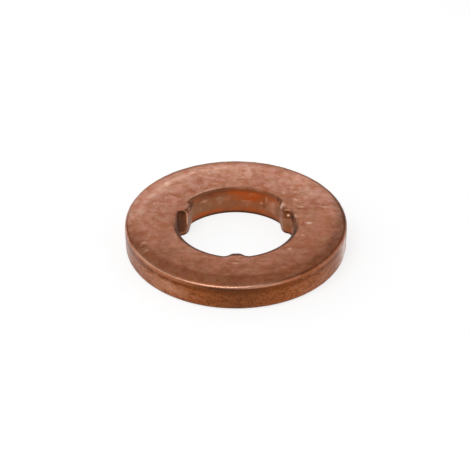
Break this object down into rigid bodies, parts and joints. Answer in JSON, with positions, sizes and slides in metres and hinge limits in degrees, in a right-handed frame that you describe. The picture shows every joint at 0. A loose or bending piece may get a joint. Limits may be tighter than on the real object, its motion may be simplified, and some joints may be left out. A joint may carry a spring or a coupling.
{
  "type": "injector seal ring",
  "caption": "Flat copper washer that seals an injector's nozzle in the cylinder head, with short tabs in its bore that grip the nozzle shank.",
  "frame": {"origin": "centre of the bore on the lower face, the face that the ring rests on", "axes": "+Z along the ring's axis, from the sharp-rimmed lower face to the upper face that rolls down at the rim; -Y towards the first of the three tabs"},
  "size_m": [0.015, 0.015, 0.0021],
  "materials": {
    "copper": "satin"
  },
  "bodies": {
    "root": {"seal_ring": "copper"}
  },
  "joints": []
}
